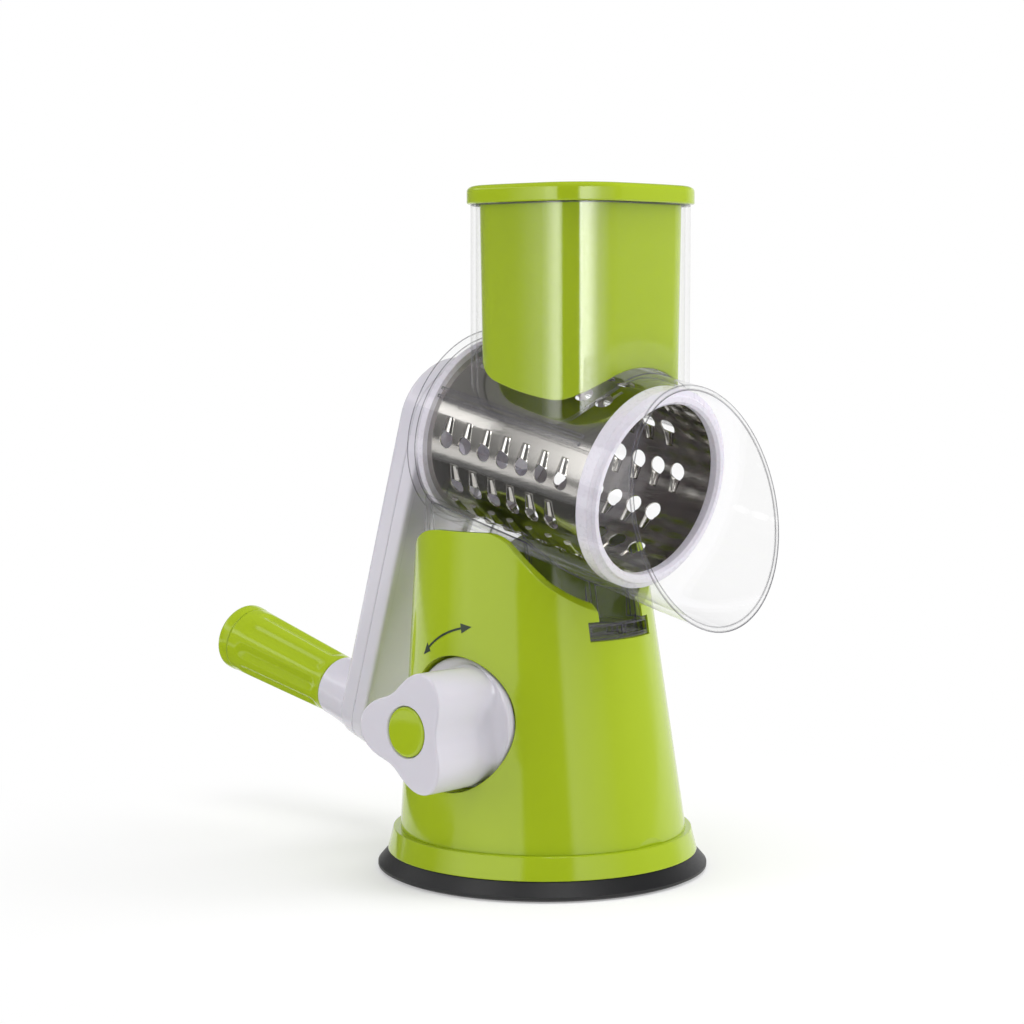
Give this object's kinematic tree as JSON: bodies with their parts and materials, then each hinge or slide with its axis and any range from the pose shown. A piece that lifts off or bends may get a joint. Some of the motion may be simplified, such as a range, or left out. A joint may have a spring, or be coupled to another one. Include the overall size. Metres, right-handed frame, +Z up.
{
  "type": "rotary cabbage shredder",
  "caption": "Hand cranked rotary shredder: suction base with a lock knob, clear feed housing with a square chute and open mouth, toothed steel drum and hollow pusher.",
  "frame": {"origin": "on the worktop under the middle of the suction cup", "axes": "+Z up; the mouth faces -Y, the crank and its grip are at +Y, and the lock knob is at -X"},
  "size_m": [0.1265, 0.2504, 0.24],
  "materials": {
    "green_abs": "glossy moulded ABS, lime green",
    "white_abs": "glossy moulded ABS, cool white",
    "clear_san": "clear moulded SAN, polished",
    "black_rubber": "soft black rubber, satin",
    "drum_steel": "rolled stainless sheet, bright",
    "white_pom": "natural white acetal",
    "shaft_steel": "drawn stainless bar",
    "screw_steel": "zinc plated steel"
  },
  "bodies": {
    "base": {"base_body": "green_abs", "base_ring": "green_abs", "base_screws": "screw_steel", "feed_housing": "clear_san", "suction_cup": "black_rubber"},
    "lock": {"lock_knob": "white_abs", "knob_cap": "green_abs", "knob_screw": "screw_steel", "cam_shaft": "white_pom"},
    "lift": {"lift_stem": "white_pom", "cup_plate": "white_pom"},
    "crank": {"crank_front_shell": "white_abs", "crank_rear_shell": "white_abs", "crank_screws": "screw_steel", "drive_shaft": "shaft_steel", "grip_spindle": "shaft_steel", "grip_screw": "screw_steel", "grip_washer": "shaft_steel"},
    "drum": {"drum_blade": "drum_steel", "drum_front_ring": "white_abs", "drum_rear_hub": "white_abs"},
    "grip": {"grip": "green_abs", "grip_cap": "green_abs"},
    "pusher": {"pusher_body": "green_abs", "pusher_lid": "green_abs"}
  },
  "joints": [
    {"name": "lock_turn", "type": "hinge", "parent": "base", "child": "lock", "pos_m": [0, 0, 0.056], "axis": [1, 0, 0], "range_deg": [0, 90]},
    {"name": "cup_lift", "type": "slide", "parent": "base", "child": "lift", "axis": [0, 0, 1], "range_m": [0, 0.004]},
    {"name": "crank_turn", "type": "hinge", "parent": "base", "child": "crank", "pos_m": [0, 0, 0.1485], "axis": [0, -0.9763, -0.2164], "continuous": true},
    {"name": "drum_out", "type": "slide", "parent": "crank", "child": "drum", "axis": [0, -0.9763, -0.2164], "range_m": [0, 0.12]},
    {"name": "grip_spin", "type": "hinge", "parent": "crank", "child": "grip", "pos_m": [0, 0.12222, 0.05635], "axis": [0, 0.9724, 0.2334], "continuous": true},
    {"name": "pusher_lift", "type": "slide", "parent": "base", "child": "pusher", "axis": [0, 0, 1], "range_m": [0, 0.085]}
  ],
  "couplings": [
    {"joint": "cup_lift", "follows": "lock_turn", "m_per_rad": 0.002546}
  ]
}
